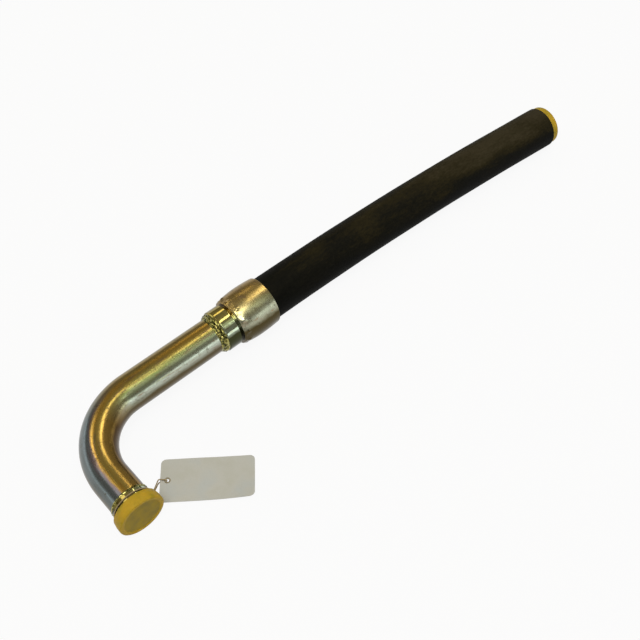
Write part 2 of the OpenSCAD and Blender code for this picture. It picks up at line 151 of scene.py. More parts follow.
def denser(profile, step, closed=False):
    # the same line with extra points, so that none of its pieces is longer than step
    runs = []
    for start, end in zip(profile, np.roll(profile, -1, axis=0)):
        count = max(1, int(np.ceil(np.linalg.norm(end - start) / step)))
        runs.append(start + (end - start) * np.linspace(0, 1, count, endpoint=False)[:, None])
    return np.concatenate(runs if closed else runs[:-1] + [profile[-1:]])


def turned(profile, steps):
    # a profile turned round its line: (s, r) gives (s, r cos a, r sin a), with a = 0 on the upper side
    a = np.linspace(0, 2 * np.pi, steps, endpoint=False)
    s, r = profile[:, 0, None], profile[:, 1, None]
    return np.stack([s + 0 * a, r * np.cos(a), r * np.sin(a)], axis=-1)


def alongHose(local):
    # stations run along the hose axis from the tube's joint, and angles from the top towards the flange side
    return inPlane(local[..., 0], -local[..., 2], local[..., 1])


def alongFlange(local):
    # stations run along the flange axis from the end of the bend
    return inPlane(bendEnd[0] + local[..., 2], bendEnd[1] - local[..., 0], local[..., 1])


def angleOf(local):
    # the angle round the piece's line, from the upper side
    return np.arctan2(local[..., 2], local[..., 1])


def radiusOf(local):
    # the distance from the piece's line
    return np.hypot(local[..., 1], local[..., 2])


def withRadius(local, radius):
    # the same stations and angles at another distance from the piece's line
    a = angleOf(local)
    return np.stack([local[..., 0], radius * np.cos(a), radius * np.sin(a)], axis=-1)


def smoothStep(x, low, high):
    # 0 up to low and 1 from high on, with a soft rise between them
    t = np.clip((x - low) / (high - low), 0, 1)
    return t * t * (3 - 2 * t)


def hump(x, middle, width):
    # a bell of height 1
    return np.exp(-(((x - middle) / width) ** 2))


def makePiece(name, world, local, node, material, body="elbow_and_hose", loop=True):
    # world and local are grids of points (profile, round, 3); loop closes the profile on itself.
    # Poles are merged, faces are turned outwards, and local is kept as the unrolled coordinate of the finish.
    rows, cols = world.shape[:2]
    i = np.arange(rows if loop else rows - 1)[:, None]
    j = np.arange(cols)[None]
    nextRow, nextCol = (i + 1) % rows, (j + 1) % cols
    here, ahead = i * cols, nextRow * cols
    quads = np.stack([here + j, here + nextCol, ahead + nextCol, ahead + j], axis=-1)
    mesh = bpy.data.meshes.new(name)
    mesh.from_pydata(world.reshape(-1, 3), [], quads.reshape(-1, 4))
    unrolled = mesh.attributes.new("unrolled", "FLOAT_VECTOR", "POINT")
    unrolled.data.foreach_set("vector", (local * mm).astype(np.float32).ravel())
    work = bmesh.new()
    work.from_mesh(mesh)
    bmesh.ops.remove_doubles(work, verts=work.verts, dist=2e-7)
    bmesh.ops.recalc_face_normals(work, faces=work.faces)
    work.to_mesh(mesh)
    work.free()
    mesh.polygons.foreach_set("use_smooth", np.ones(len(mesh.polygons), bool))
    mesh.materials.append(material)
    piece = bpy.data.objects.new(name, mesh)
    bpy.context.scene.collection.objects.link(piece)
    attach(piece, body)
    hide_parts(node)
    return piece


# Nearly all of a noise's values lie between these two
noiseSpan = (0.3, 0.7)


def toLinear(hexColour):
    # the linear colour of an sRGB hex value
    c = np.array([int(hexColour[k:k + 2], 16) for k in (1, 3, 5)]) / 255
    return (*np.where(c <= 0.04045, c / 12.92, ((c + 0.055) / 1.055) ** 2.4), 1.0)


def addNode(tree, kind, inputs=(), out=0, stops=(), **settings):
    # one node with its settings, and the output that is wanted. Its inputs come in order, or by name or
    # number, each as a number, a hex colour or a socket to link; stops are a ramp's places and colours.
    node = tree.nodes.new("ShaderNode" + kind)
    for key, value in settings.items():
        setattr(node, key, value)
    for key, value in inputs.items() if isinstance(inputs, dict) else enumerate(inputs):
        if isinstance(value, bpy.types.NodeSocket):
            tree.links.new(value, node.inputs[key])
        else:
            node.inputs[key].default_value = toLinear(value) if isinstance(value, str) else value
    for _ in stops[2:]:
        node.color_ramp.elements.new(0.5)
    for k, (place, colour) in enumerate(stops):
        node.color_ramp.elements[k].position = place
        node.color_ramp.elements[k].color = toLinear(colour)
    return node.outputs[out] if node.outputs else None


def newFinish(name, shader, coordsFrom="unrolled"):
    # an empty material with its shader, whose even values are set on the sockets themselves, and the
    # coordinates of its patterns: the piece's own unrolled ones, or those of the object
    material = bpy.data.materials.new(name)
    material.use_nodes = True
    tree = material.node_tree
    tree.nodes.clear()
    surface = addNode(tree, "BsdfPrincipled", shader)
    addNode(tree, "OutputMaterial", {"Surface": surface})
    if coordsFrom == "unrolled":
        coords = addNode(tree, "Attribute", out="Vector", attribute_name="unrolled")
    else:
        coords = addNode(tree, "TexCoord", out="Object")
    return material, tree, surface.node.inputs, coords


def swells(tree, coords, size, detail=2.0, rough=0.5, warp=0.0):
    # noise whose swells are about size millimetres across; three sizes stretch it along each axis
    perMetre = [1 / (s * mm) for s in np.broadcast_to(size, 3)]
    placed = addNode(tree, "VectorMath", (coords, perMetre), operation="MULTIPLY")
    inputs = {"Vector": placed, "Scale": 1.0, "Detail": detail, "Roughness": rough, "Distortion": warp}
    return addNode(tree, "TexNoise", inputs)


def laidOver(tree, colour, layers):
    # colours laid over each other in turn, each as strongly as its share
    for share, over in layers:
        colour = addNode(tree, "Mix", {0: share, 6: colour, 7: over}, 2, data_type="RGBA")
    return colour


def dress(tree, shader, colour, dull, heights):
    # gives a finish its colour, its roughness where that varies, and its relief: heights is a list of a
    # height and its depth in millimetres, and each stands on the one before
    tree.links.new(colour, shader["Base Color"])
    if dull:
        tree.links.new(dull, shader["Roughness"])
    for height, depth in heights:
        inputs = {"Height": height, "Strength": 1.0, "Distance": depth * mm}
        if shader["Normal"].links:
            inputs["Normal"] = shader["Normal"].links[0].from_socket
        tree.links.new(addNode(tree, "Bump", inputs), shader["Normal"])


def placeOn(tree, coords):
    # a point's station along the piece, its height and its side, and its distance from the middle line
    parts = addNode(tree, "SeparateXYZ", (coords,)).node.outputs
    square = addNode(tree, "Math", (parts["Z"], 2.0), operation="POWER")
    square = addNode(tree, "Math", (parts["Y"], parts["Y"], square), operation="MULTIPLY_ADD")
    return parts["X"], parts["Y"], parts["Z"], addNode(tree, "Math", (square,), operation="SQRT")


# Steel with a yellow chromated zinc coat, about 10 microns thick: a clear metal gloss whose colour changes
# with the coat's thickness in patches that run along it, and round the piece (round), from gold on top to
# pale grey-green on the side, which is partly painted reflection. Drawing or turning gives fine lines, drawn
# coarser than they are so that they show, and handling gives stains. The lower side is darkened as painted
# shade: dark says how low on the piece the painted shade begins and where it is full; bend is where the
# tube's bend begins and is full.
zincLooks = {
    "platedDrawnTube": dict(
        round=[
            (0.07, "#a98d4c"), (0.21, "#bd9440"), (0.43, "#b5a055"),
            (0.58, "#98a063"), (0.72, "#9da486"), (0.87, "#b0b6a6"),
        ],
        under="#574c33", back="#7d7048", olive="#8d8a50", violet="#8a6f5e", dark=(0.44, 0.16),
        patch=(60, 8, 8), line=(60, 0.5, 0.5), lineDepth=0.006, rough=(0.2, 0.32), stain=0.6,
        bend=((legLength + 10) * mm, (legLength + 48) * mm), straw="#b2904a", hollow="#48361d",
        outer=[(0.0, "#646966"), (0.4, "#757c7c"), (0.62, "#7f8486"), (0.8, "#85737a"), (1.0, "#a58c58")],
    ),
    "platedTurnedSteel": dict(
        round=[(0.1, "#c0ab5a"), (0.45, "#c4b56c"), (0.6, "#b2b885"), (0.75, "#a9b39c")],
        under="#3a3c24", back="#6b5f2a", olive="#98985f", violet="#8f8a6c", dark=(0.56, 0.4),
        patch=(30, 8, 8), line=(0.4, 60, 60), lineDepth=0.003, rough=(0.07, 0.16), stain=0.4,
    ),
    "platedPressedShell": dict(
        round=[(0.1, "#b0904f"), (0.4, "#b99f62"), (0.6, "#a7a274"), (0.78, "#a5a68f")],
        under="#4c4226", back="#7d6838", olive="#8f8560", violet="#8e7660", dark=(0.46, 0.28),
        patch=(26, 12, 12), line=(0.7, 50, 50), lineDepth=0.004, rough=(0.25, 0.38), stain=0.7,
    ),
}
# What the coats share: a layer's numbers are where it begins and is full, then its least and its most
coatSet = dict(
    wander=(-0.1, 0.1), roundFrom=(-0.4, 1.0), olive=(0.52, 0.7, 0, 0.7), violet=(0.54, 0.7, 0, 0.8),
    rust=(0.58, 0.7, 0, 0.6), rustColour="#8f6436", back=(-0.25, -0.75), lowWander=(0.2, 0.8, -0.08, 0.08),
    stains=(0.56, 0.7), stainColour="#4c4023", stainSize=5, roughOver=(0.3, 1.1), dent=(14, 7, 7),
    dentDepth=0.12,
)
# The same for the bend alone, by the side of the tube: 1 is the inside of the bend and -1 the outside
bendSet = dict(
    inner=(0.1, 0.3), hollow=(0.55, 0.85), fringeWander=(-0.12, 0.12), fringe=(-0.15, -0.32),
    outerFrom=(-1.0, -0.1),
)


def platedSteel(name):
    look, c = zincLooks[name], coatSet
    material, tree, shader, coords = newFinish(name, {"Metallic": 1.0})
    station, height, side, reach = placeOn(tree, coords)
    height = addNode(tree, "Math", (height, reach), operation="DIVIDE")
    side = addNode(tree, "Math", (side, reach), operation="DIVIDE")
    patch = np.array(look["patch"])
    drift = swells(tree, coords, patch, detail=4, rough=0.6, warp=0.4)
    flecks = swells(tree, coords, patch / 2, detail=5, rough=0.7)
    rust = swells(tree, coords, patch / 4, detail=5, rough=0.7, warp=0.6)
    wander = addNode(tree, "MapRange", (drift, *noiseSpan, *c["wander"]))
    side = addNode(tree, "Math", (side, wander), operation="ADD")
    # partly painted reflection: the colour round the piece follows the colours of the reflections at each
    # angle
    coat = addNode(tree, "MapRange", (side, *c["roundFrom"]))
    coat = addNode(tree, "ValToRGB", (coat,), stops=look["round"])
    coat = laidOver(tree, coat, [
        (addNode(tree, "MapRange", (drift, *c["olive"])), look["olive"]),
        (addNode(tree, "MapRange", (flecks, *c["violet"])), look["violet"]),
        (addNode(tree, "MapRange", (rust, *c["rust"])), c["rustColour"]),
    ])
    # painted shade: the lower side is darkened (under), standing in for the dark reflection below it; the
    # back is darker too
    low = addNode(tree, "MapRange", (flecks, *c["lowWander"]))
    low = addNode(tree, "Math", (height, low), operation="ADD")
    back = (addNode(tree, "MapRange", (side, *c["back"])), look["back"])
    under = (addNode(tree, "MapRange", (low, *look["dark"])), look["under"])
    layers = [back, under]
    if "bend" in look:
        # the inside of the bend is straw and then, deepest in the bend, nearly black painted shade; the
        # stretched outside has lost its straw and shows a violet fringe, then blue-grey
        inBend = addNode(tree, "MapRange", (station, *look["bend"]))
        wander = addNode(tree, "MapRange", (flecks, *noiseSpan, *bendSet["fringeWander"]))
        fringe = addNode(tree, "Math", (side, wander), operation="ADD")
        outer = addNode(tree, "MapRange", (fringe, *bendSet["outerFrom"]))
        outer = addNode(tree, "ValToRGB", (outer,), stops=look["outer"])
        layers = [
            (addNode(tree, "MapRange", (side, *bendSet["inner"], 0, inBend)), look["straw"]), back,
            (addNode(tree, "MapRange", (fringe, *bendSet["fringe"], 0, inBend)), outer), under,
            (addNode(tree, "MapRange", (side, *bendSet["hollow"], 0, inBend)), look["hollow"]),
        ]
    stains = swells(tree, coords, c["stainSize"], detail=6, rough=0.65)
    stains = addNode(tree, "MapRange", (stains, *c["stains"]))
    stained = addNode(tree, "Math", (stains, look["stain"]), operation="MULTIPLY")
    coat = laidOver(tree, coat, [*layers, (stained, c["stainColour"])])
    lines = swells(tree, coords, look["line"], detail=2)
    dull = addNode(tree, "Math", (lines, stained), operation="ADD")
    dull = addNode(tree, "MapRange", (dull, *c["roughOver"], *look["rough"]))
    dents = swells(tree, coords, c["dent"], detail=3, rough=0.55)
    dress(tree, shader, coat, dull, [(dents, c["dentDepth"]), (lines, look["lineDepth"])])
    return material


# Silver brazing alloy, left as it froze: bright pale brass on the lumps, with dark flux between them.
# flux says how much of it the dark covers.
alloySet = dict(
    colours=[(-0.12, "#2b2912"), (0, "#6a6836"), (0.12, "#b3a862"), (0.25, "#8f9160")],
    lump=3.2, lumpDepth=0.5, rough=(0.32, 0.14), grain=1.2, grainDepth=0.08,
)


def brazeAlloy(name, flux):
    material, tree, shader, coords = newFinish(name, {"Metallic": 1.0})
    tone = swells(tree, coords, alloySet["lump"], detail=3, rough=0.6)
    stops = [(flux + place, colour) for place, colour in alloySet["colours"]]
    colour = addNode(tree, "ValToRGB", (tone,), stops=stops)
    dull = addNode(tree, "MapRange", (tone, *noiseSpan, *alloySet["rough"]))
    grain = swells(tree, coords, alloySet["grain"], detail=2)
    dress(tree, shader, colour, dull, [(tone, alloySet["lumpDepth"]), (grain, alloySet["grainDepth"])])
    return material


# Injection moulded low-density polyethylene: waxy, soft gloss, a little light passes through it. The cap's
# end face, inside its rim, is painted darker than the skirt: painted shade.
polyethyleneSet = dict(
    shader={
        "IOR": 1.51, "Specular IOR Level": 0.12, "Subsurface Weight": 0.12, "Subsurface Scale": 0.002,
        "Subsurface Radius": (1.0, 0.7, 0.2),
    },
    skirt=[(0.32, "#91801c"), (0.48, "#ab8d26"), (0.66, "#b59228")], tone=12,
    face=[(0.36, "#7c6a0c"), (0.6, "#917b12")], faceShare=0.85, faceFrom=(1.4, 2.0), faceEdge=(20, 18.6),
    scuff=(3, 0.6, 3), scuffed=(0.6, 0.75, 0, 0.35), scuffColour="#7d6a26", rough=(0.42, 0.55),
    grain=0.8, grainDepth=0.03,
)


def mouldedCap(m):
    material, tree, shader, coords = newFinish("mouldedPolyethylene", m["shader"])
    tone = swells(tree, coords, m["tone"], detail=4, rough=0.55)
    scuff = swells(tree, coords, m["scuff"], detail=5, rough=0.7)
    station, _, _, reach = placeOn(tree, coords)
    low, high = [(faceStation + past) * mm for past in m["faceFrom"]]
    # painted shade: the end face inside the rim is laid darker than the skirt
    faceShade = addNode(tree, "MapRange", (station, low, high, 0, m["faceShare"]))
    faceShade = addNode(tree, "MapRange", (reach, *(r * mm for r in m["faceEdge"]), 0, faceShade))
    face = addNode(tree, "ValToRGB", (tone,), stops=m["face"])
    scuffed = addNode(tree, "MapRange", (scuff, *m["scuffed"]))
    colour = addNode(tree, "ValToRGB", (tone,), stops=m["skirt"])
    colour = laidOver(tree, colour, [(faceShade, face), (scuffed, m["scuffColour"])])
    dull = addNode(tree, "MapRange", (tone, *noiseSpan, *m["rough"]))
    grain = swells(tree, coords, m["grain"], detail=3)
    dress(tree, shader, colour, dull, [(grain, m["grainDepth"])])
    return material


# Black synthetic rubber cover, cured under a fabric wrap that leaves a fine cloth print. It is lighter on its
# upper side, and more so towards the cut end. The print is drawn coarser than it is, so that it shows.
coverSet = dict(
    shader={"IOR": 1.52, "Specular IOR Level": 0.06}, dust=(60, 18, 18), dustSpread=(-0.25, 0.25),
    topFrom=0.1, alongHose=(100 * mm, 420 * mm, 0.35, 1.0), cloth=(5, 2, 2), clothSpread=(-0.16, 0.16),
    clothDepth=0.25, colours=[(0.0, "#050502"), (0.35, "#100f08"), (0.7, "#25200f"), (1.0, "#342e1f")],
    rough=(0.62, 0.8), grain=1.4, grainDepth=0.12,
)


def wrappedRubber(c):
    material, tree, shader, coords = newFinish("wrapCuredRubber", c["shader"])
    station, height = placeOn(tree, coords)[:2]
    dust = swells(tree, coords, c["dust"], detail=6, rough=0.62)
    cloth = swells(tree, coords, c["cloth"], detail=4, rough=0.7)
    along = addNode(tree, "MapRange", (station, *c["alongHose"]))
    share = addNode(tree, "MapRange", (height, c["topFrom"] * hoseR * mm, hoseR * mm, 0, along))
    for noise, spread in ((dust, c["dustSpread"]), (cloth, c["clothSpread"])):
        wander = addNode(tree, "MapRange", (noise, *noiseSpan, *spread))
        share = addNode(tree, "Math", (share, wander), operation="ADD")
    colour = addNode(tree, "ValToRGB", (share,), stops=c["colours"])
    dull = addNode(tree, "MapRange", (dust, *noiseSpan, *c["rough"]))
    grain = swells(tree, coords, c["grain"], detail=3, rough=0.7)
    dress(tree, shader, colour, dull, [(cloth, c["clothDepth"]), (grain, c["grainDepth"])])
    return material


# Moulded or extruded nitrile rubber, of the liner, the layers between the plies and the O-ring: matt black
# with a faint grey bloom. Each has its colour and its roughness.
plainSet = dict(
    grain=1.5, grainDepth=0.05, bloom=(0, 0.4), bloomColour="#2c2a26", roughSpread=0.08,
    liner=("#1a1916", 0.6), seal=("#121212", 0.4),
)


def plainRubber(name, colour, rough):
    material, tree, shader, coords = newFinish(name, {"IOR": 1.52}, "object")
    grain = swells(tree, coords, plainSet["grain"], detail=3)
    bloom = addNode(tree, "MapRange", (grain, *noiseSpan, *plainSet["bloom"]))
    colour = laidOver(tree, colour, [(bloom, plainSet["bloomColour"])])
    spread = plainSet["roughSpread"]
    dull = addNode(tree, "MapRange", (grain, *noiseSpan, rough - spread, rough + spread))
    dress(tree, shader, colour, dull, [(grain, plainSet["grainDepth"])])
    return material


# Finishes whose colour, relief and dullness follow one noise; the card's colour has a broader one (cloud):
# - brassedWire: hard-drawn spring steel wire with a thin brass coat, a worn and softly shining metal
# - tagBoard: uncoated card pressed from pulp, quite matt, with fine fibres and faint grey clouds
# - dullBrass: stamped sheet brass, whose handling has left it greyish and without clear reflections
# - cottonTwine: two undyed cotton plies, matt and slightly furry; its fibres are drawn coarser, so they show
simpleLooks = {
    "brassedWire": dict(
        shader={"Metallic": 1.0, "Roughness": 0.35}, coordsFrom="object", size=0.9, detail=2,
        colours=[(0.3, "#6f6a60"), (0.6, "#a39a86")], depth=0.1,
    ),
    "tagBoard": dict(
        shader={"IOR": 1.45, "Specular IOR Level": 0.2, "Roughness": 0.85},
        size=1.2, detail=5, noiseRough=0.7, cloud=25,
        colours=[(0.3, "#b2b1a6"), (0.5, "#b7b6ae"), (0.7, "#b3b5b1")],
        fibres=(0.45, 0.75, 0, 0.25), fibreColour="#a19f90", depth=0.03,
    ),
    "dullBrass": dict(
        shader={"Metallic": 1.0}, size=1.0, detail=4, colours=[(0.3, "#857b66"), (0.6, "#a39b86")],
        rough=(0.5, 0.68),
    ),
    "cottonTwine": dict(
        shader={"Roughness": 0.9, "Specular IOR Level": 0.15, "Sheen Weight": 0.4, "Sheen Roughness": 0.5},
        size=(1.2, 0.15, 0.15), detail=4, noiseRough=0.7, colours=[(0.3, "#7a6847"), (0.6, "#a18e68")],
        depth=0.06,
    ),
}


def simpleFinish(name):
    look = simpleLooks[name]
    material, tree, shader, coords = newFinish(name, look["shader"], look.get("coordsFrom", "unrolled"))
    tone = swells(tree, coords, look["size"], look["detail"], look.get("noiseRough", 0.5))
    broad = swells(tree, coords, look["cloud"], detail=3) if "cloud" in look else tone
    colour = addNode(tree, "ValToRGB", (broad,), stops=look["colours"])
    if "fibres" in look:
        fibres = addNode(tree, "MapRange", (tone, *look["fibres"]))
        colour = laidOver(tree, colour, [(fibres, look["fibreColour"])])
    dull = addNode(tree, "MapRange", (tone, *noiseSpan, *look["rough"])) if "rough" in look else None
    dress(tree, shader, colour, dull, [(tone, look["depth"])] if "depth" in look else [])
    return material


drawnTube, turnedCollar, pressedShell = [platedSteel(name) for name in zincLooks]
flangeAlloy = brazeAlloy("silverBraze", 0.47)
stemAlloy = brazeAlloy("silverBrazeFluxed", 0.49)
polyethylene = mouldedCap(polyethyleneSet)
coverRubber = wrappedRubber(coverSet)
linerRubber = plainRubber("linerRubber", *plainSet["liner"])
sealRubber = plainRubber("nitrileSeal", *plainSet["seal"])
wireSteel, card, eyeletBrass, twine = [simpleFinish(name) for name in simpleLooks]
print("finishes made")

# The hose runs straight to arcStart, then in a shallow bow, and straight again to its cut end, where its
# layers are seen. The wrap that it was cured in has left a spiral edge and slight swells.
hoseSet = dict(
    coverWall=1.3, start=62.0, arcStart=77.3, ferruleEnd=69.3, ringStep=2.4, around=144,
    wrapDepth=0.1, wrapPitch=46.0, wrapEdge=0.03, swell=0.06, swellLength=17,
)
bow = np.arccos(np.clip(hoseAxis @ tailAxis, -1, 1))
cutEnd = fromPlane(inPlane(*hoseTailMiddle) + tailAxis * tailLength / 2 * mm)
tailStart = fromPlane(inPlane(*hoseTailMiddle) - tailAxis * tailLength / 2 * mm)
arcRadius = (tailStart[0] - hoseSet["arcStart"]) / np.sin(bow)
arcLength = arcRadius * bow


def hoseLine(s):
    # middle of the hose at distance s from the tube's joint, and its slope: straight, an arc, and straight
    s = np.asarray(s, float)
    slope = np.clip((s - hoseSet["arcStart"]) / arcRadius, 0, bow)
    past = np.maximum(s - hoseSet["arcStart"] - arcLength, 0)
    x = np.minimum(s, hoseSet["arcStart"]) + arcRadius * np.sin(slope) + past * np.cos(bow)
    y = -arcRadius * (1 - np.cos(slope)) - past * np.sin(bow)
    return x, y, slope


def alongCourse(local):
    # stations run along the middle of the bowed hose, and angles from the top towards the flange side
    x, y, slope = hoseLine(local[..., 0])
    return inPlane(x - local[..., 2] * np.sin(slope), y - local[..., 2] * np.cos(slope), local[..., 1])


def makeHoseCover(h):
    # a tube wall carried along the hose's line, with the shallow print of the spiral fabric wrap
    end = hoseSet["arcStart"] + arcLength + tailLength
    inner = hoseR - h["coverWall"]
    profile = rounded([
        (h["start"], inner, 0), (h["start"], hoseR, 0), (end, hoseR, 0.35), (end, inner, 0.1),
    ])
    profile = denser(profile, h["ringStep"], closed=True)
    local = turned(profile, h["around"])
    outside = smoothStep(radiusOf(local), hoseR - 0.4, hoseR - 0.05)
    turns = local[..., 0] / h["wrapPitch"] + angleOf(local) / (2 * np.pi)
    wrapEdge = hump(turns % 1, 0.5, h["wrapEdge"])
    a = angleOf(local)
    swell = np.sin(local[..., 0] / h["swellLength"] + 2 * np.sin(a)) * np.sin(3 * a + 1)
    sunk = h["wrapDepth"] * wrapEdge + h["swell"] * (1 + swell)
    local = withRadius(local, radiusOf(local) - outside * sunk)
    hose = makePiece("hoseCover", alongCourse(local), local, "hose_cover", coverRubber)


makeHoseCover(hoseSet)

# The bend is flattened a little, from easeIn past its start to easeOut before the end of the tube
tubeSet = dict(
    wall=4.0, headLength=17.7, step=1.5, around=160, flatten=0.35, easeIn=18, easeOut=(44, 22),
    dieMark=0.12, dieAt=14, dieWidth=5,
)


def alongElbow(local):
    # stations run along the middle of the tube from the hose fitting, and angles from the top towards the
    # inside of the bend
    s = local[..., 0]
    turn = np.clip((s - legLength) / bendRadius, 0, np.pi / 2)
    past = np.maximum(s - legLength - bendRadius * np.pi / 2, 0)
    x = -np.minimum(s, legLength) - bendRadius * np.sin(turn) + local[..., 2] * np.sin(turn)
    y = -bendRadius * (1 - np.cos(turn)) - past - local[..., 2] * np.cos(turn)
    return inPlane(x, y, local[..., 1])


def makeElbow(t):
    # a tube wall carried along the elbow, whose bend is slightly flattened, with a faint mark of the die
    total = legLength + bendRadius * np.pi / 2 + faceStation - t["headLength"]
    inner = tubeR - t["wall"]
    profile = rounded([(0, tubeR, 0.4), (total, tubeR, 0.4), (total, inner, 0.3), (0, inner, 0.3)], 3)
    local = turned(denser(profile, t["step"], closed=True), t["around"])
    s, a = local[..., 0], angleOf(local)
    low, high = [total - before for before in t["easeOut"]]
    inBend = smoothStep(s, legLength, legLength + t["easeIn"]) * (1 - smoothStep(s, low, high))
    die = hump(s, legLength + t["dieAt"], t["dieWidth"]) * smoothStep(np.sin(a), 0.2, 0.9)
    flattened = t["flatten"] * inBend * (1 - np.cos(2 * a)) / 2
    local = withRadius(local, radiusOf(local) - flattened - t["dieMark"] * die)
    makePiece("elbowTube", alongElbow(local), local, "elbow_tube", drawnTube)


makeElbow(tubeSet)

# The round head that the clamp halves hold
headSet = dict(
    spigot=5.0, spigotR=15.0, rim=8.0, fillet=2.4, bore=12.7, grooveOut=19.85, grooveWidth=4.0,
    grooveDepth=2.8, step=0.8, around=160,
)


def makeHead(h):
    # a turned ring: hub, rim, sealing face with its groove, bore and spigot
    back = faceStation - tubeSet["headLength"]
    rimBack = faceStation - h["rim"]
    grooveIn = h["grooveOut"] - h["grooveWidth"]
    floor = faceStation - h["grooveDepth"]
    low = back - h["spigot"]
    profile = rounded([
        (low, h["bore"], 0.3), (low, h["spigotR"], 0.5), (back, h["spigotR"], 0), (back, tubeR, 0.3),
        (rimBack, tubeR, h["fillet"]), (rimBack, rimR, 0.4), (faceStation, rimR, 0.5),
        (faceStation, h["grooveOut"], 0.15), (floor, h["grooveOut"], 0.3), (floor, grooveIn, 0.3),
        (faceStation, grooveIn, 0.15), (faceStation, h["bore"], 0.5),
    ])
    local = turned(denser(profile, h["step"], closed=True), h["around"])
    makePiece("flangeHead", alongFlange(local), local, "flange_head", turnedCollar)


makeHead(headSet)

# The two beads of braze. A row of the stem's bead has its station, a ripple's length round the joint and
# across the bead, and its share of the rise.
flangeBeadSet = dict(
    middle=faceStation - tubeSet["headLength"], half=1.05, rise=1.0, ripples=26, zigzag=0.6, seed=4,
)
stemBeadSet = dict(
    low=-1.3, high=6.6, topR=23.0, rise=1.5, ripples=24, seed=9, least=0.15,
    rows=[(1.4, 0.085, 1.0, 0.8), (4.3, 0.08, 1.2, 0.85)],
)


def ripplesAt(a, s, count, seed, length, across):
    # one soft lump for each touch of the rod, at slightly uneven places round the joint
    chance = np.random.default_rng(seed)
    height = np.zeros_like(a)
    for k in range(count):
        centre = 2 * np.pi * (k + chance.uniform(-0.25, 0.25)) / count
        apart = np.angle(np.exp(1j * (a - centre)))
        drift = chance.uniform(-0.3, 0.3) * across
        lump = chance.uniform(0.7, 1.0) * hump(apart, 0, length) * hump(s, drift, across)
        height = np.maximum(height, lump)
    return height


def makeFlangeBead(b):
    # a ring of half-round section on the tube, with ripples, closed along the tube's face
    across = np.linspace(0, np.pi, 25)
    s = b["middle"] - b["half"] * np.cos(across)
    outer = np.stack([s, tubeR - 0.1 + 0.001 * across], axis=1)
    local = turned(outer, 288)
    a, t = angleOf(local), (local[..., 0] - b["middle"]) / b["half"]
    bulge = np.sqrt(np.clip(1 - t**2, 0, 1))
    lumps = ripplesAt(a, local[..., 0] - b["middle"], b["ripples"], b["seed"], 0.1, b["half"] * 0.7)
    local[..., 0] += b["zigzag"] * (0.6 * np.sin(9 * a) + 0.4 * np.sin(4 * a + 1)) * bulge
    local = withRadius(local, radiusOf(local) + b["rise"] * bulge * (0.5 + 0.5 * lumps))
    makePiece("flangeBraze", alongFlange(local), local, "flange_braze", flangeAlloy)


def makeStemBead(b):
    # a wide fillet of braze from the tube up to the collar: two rows of ripples over a rising line
    t = np.linspace(0, 1, 41)
    s = b["low"] + (b["high"] - b["low"]) * t
    foot = tubeR + (b["topR"] - 1 - tubeR) * smoothStep(s, 0, b["high"])
    profile = np.concatenate([np.stack([s, foot], 1), np.stack([s[::-1], foot[::-1] - 0.15], 1)])
    local = turned(profile, 320)
    a, along = angleOf(local), np.broadcast_to(profile[:, :1], local.shape[:2])
    onTop = np.repeat([1.0, 0.0], len(t))[:, None] * np.ones_like(a)
    place = (along - b["low"]) / (b["high"] - b["low"])
    arch = np.sin(np.pi * np.clip(place, 0, 1)) ** 0.7
    lumps = b["least"]
    for k, (at, length, across, share) in enumerate(b["rows"]):
        row = ripplesAt(a + 0.1 * k, along - at, b["ripples"], b["seed"] + k, length, across)
        lumps = lumps + share * row
    local = withRadius(local, radiusOf(local) + b["rise"] * arch * lumps * onTop)
    makePiece("stemBraze", alongHose(local), local, "stem_braze", stemAlloy)


makeFlangeBead(flangeBeadSet)
makeStemBead(stemBeadSet)
print("elbow, head and beads made")

# The hose fitting: a turned stem, and the shell that is crimped round the hose
stemSet = dict(
    spigot=5.0, spigotR=15.0, nose=6.5, collarR=23.05, chamfer=1.0, collarEnd=22.0, neckR=18.6, neckEnd=28.7,
    shoulderR=21.3, shoulderEnd=32.2, insertR=15.85, barb=0.7, barbs=6, insertEnd=66.2, bore=13.0,
)
ferruleSet = dict(
    face=24.6, end=69.3, crown=48.0, crownR=27.85, lipR=25.3, endR=26.8, neckR=18.7, lip=4.0, boreR=24.25,
    ridges=12, ridgeHeight=0.95, ridgeAt=29.4, ridgeLength=2.2, flatDepth=0.45, flatAt=26.9, flatLength=3.0,
    uneven=0.05, around=288,
)


def makeStem(c):
    # a turned piece: spigot, sloped nose, collar, neck, shoulder and the barbed insert inside the hose
    root = c["insertR"] - c["barb"]
    pitch = (c["insertEnd"] - c["shoulderEnd"] - 4) / c["barbs"]
    barbs = []
    for k in range(c["barbs"]):
        at = c["shoulderEnd"] + 2 + k * pitch
        barbs += [(at, root, 0), (at, c["insertR"], 0.1), (at + 0.8 * pitch, root, 0)]
    profile = rounded([
        (-c["spigot"], c["bore"], 0.3), (-c["spigot"], c["spigotR"], 0.5), (0, c["spigotR"], 0),
        (0, tubeR, 0.2),
        (c["nose"], c["collarR"] - c["chamfer"], 0.3), (c["nose"] + c["chamfer"], c["collarR"], 0.5),
        (c["collarEnd"] - 0.6, c["collarR"], 0.4), (c["collarEnd"], c["collarR"] - 0.6, 0.3),
        (c["collarEnd"], c["neckR"], 0.8), (c["neckEnd"], c["neckR"], 0.3),
        (c["neckEnd"], c["shoulderR"], 0.4), (c["shoulderEnd"], c["shoulderR"], 0.4),
        (c["shoulderEnd"], root, 0.3), *barbs,
        (c["insertEnd"], root, 0.6), (c["insertEnd"], c["bore"], 0.3),
    ])
    local = turned(denser(profile, 0.8, closed=True), 200)
    makePiece("hoseStem", alongHose(local), local, "hose_stem", turnedCollar)


